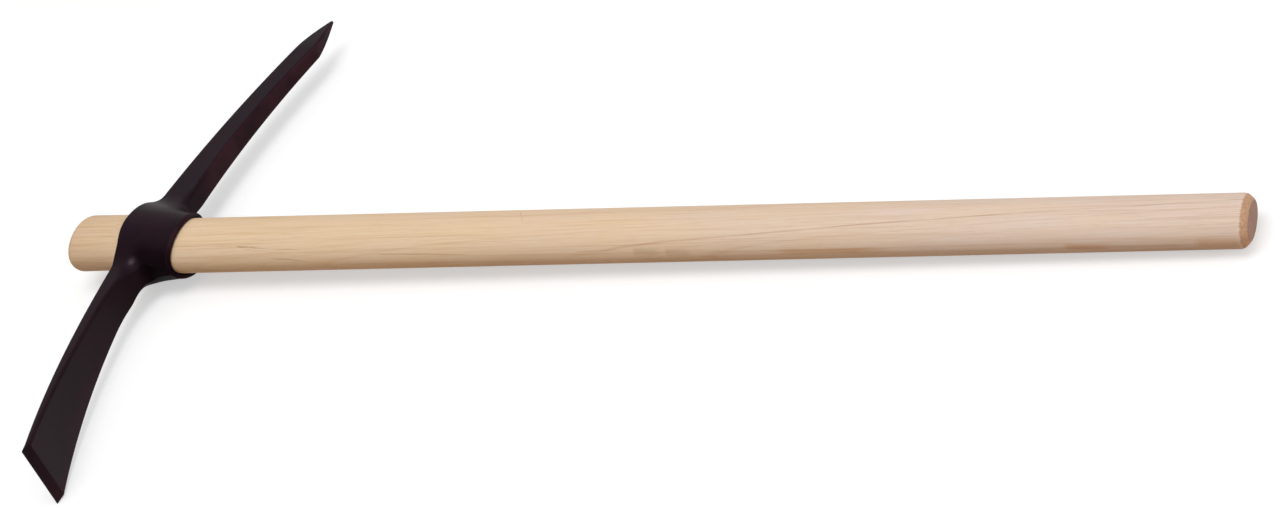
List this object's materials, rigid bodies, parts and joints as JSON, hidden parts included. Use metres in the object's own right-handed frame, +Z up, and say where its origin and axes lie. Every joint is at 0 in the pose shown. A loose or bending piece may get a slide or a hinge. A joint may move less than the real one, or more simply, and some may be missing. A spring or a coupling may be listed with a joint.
{
  "type": "pick axe",
  "caption": "Digging pick with a forged steel head, a square point on one arm and a narrow adze blade on the other, that slides on a tapered oval wooden handle.",
  "frame": {"origin": "middle of the bounding box at floor level, with the tool lying on its side", "axes": "+X runs along the handle to the grip end, +Y to the point of the pick, +Z is up; the handle dips 0.91 degrees to the floor towards the grip"},
  "size_m": [0.9002, 0.503, 0.0551],
  "materials": {
    "forged_steel": "thin dark maroon-black paint, half gloss, over a forged surface",
    "hardwood": "bare, finely sanded pale wood with lengthwise grain"
  },
  "bodies": {
    "handle": {"handle": "hardwood"},
    "head": {"head": "forged_steel"}
  },
  "joints": [
    {"name": "head_slide", "type": "slide", "parent": "handle", "child": "head", "axis": [0.9999, 0, -0.0159], "range_m": [0, 0.79]}
  ]
}
